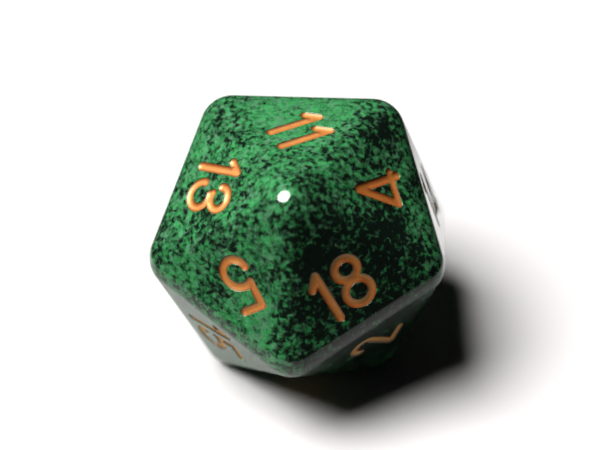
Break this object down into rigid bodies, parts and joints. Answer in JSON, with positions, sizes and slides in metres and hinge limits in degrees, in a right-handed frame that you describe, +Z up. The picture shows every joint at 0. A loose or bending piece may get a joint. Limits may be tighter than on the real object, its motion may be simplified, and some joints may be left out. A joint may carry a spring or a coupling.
{
  "type": "polyhedral die",
  "caption": "Rounded icosahedral playing die in speckled plastic, with a paint-filled engraved numeral on each face; rests on any face.",
  "frame": {"origin": "centre of face 10, the face the die rests on, on the table plane", "axes": "+Z up, through the centre of face 11; -Y from the die's centre towards the side of the corner shared by faces 4, 5, 11, 13 and 18; +X to the right seen from -Y, on the side of face 4"},
  "size_m": [0.021, 0.0236, 0.02],
  "materials": {
    "speckled_plastic": "moulded green plastic densely speckled with black and dark blue, tumble-polished to a gloss",
    "numeral_paint": "satin orange-gold paint, sunk a little below the face"
  },
  "bodies": {
    "root": {"die_body": "speckled_plastic", "numeral_01": "numeral_paint", "numeral_02": "numeral_paint", "numeral_03": "numeral_paint", "numeral_04": "numeral_paint", "numeral_05": "numeral_paint", "numeral_06": "numeral_paint", "numeral_07": "numeral_paint", "numeral_08": "numeral_paint", "numeral_09": "numeral_paint", "numeral_10": "numeral_paint", "numeral_11": "numeral_paint", "numeral_12": "numeral_paint", "numeral_13": "numeral_paint", "numeral_14": "numeral_paint", "numeral_15": "numeral_paint", "numeral_16": "numeral_paint", "numeral_17": "numeral_paint", "numeral_18": "numeral_paint", "numeral_19": "numeral_paint", "numeral_20": "numeral_paint"}
  },
  "joints": []
}
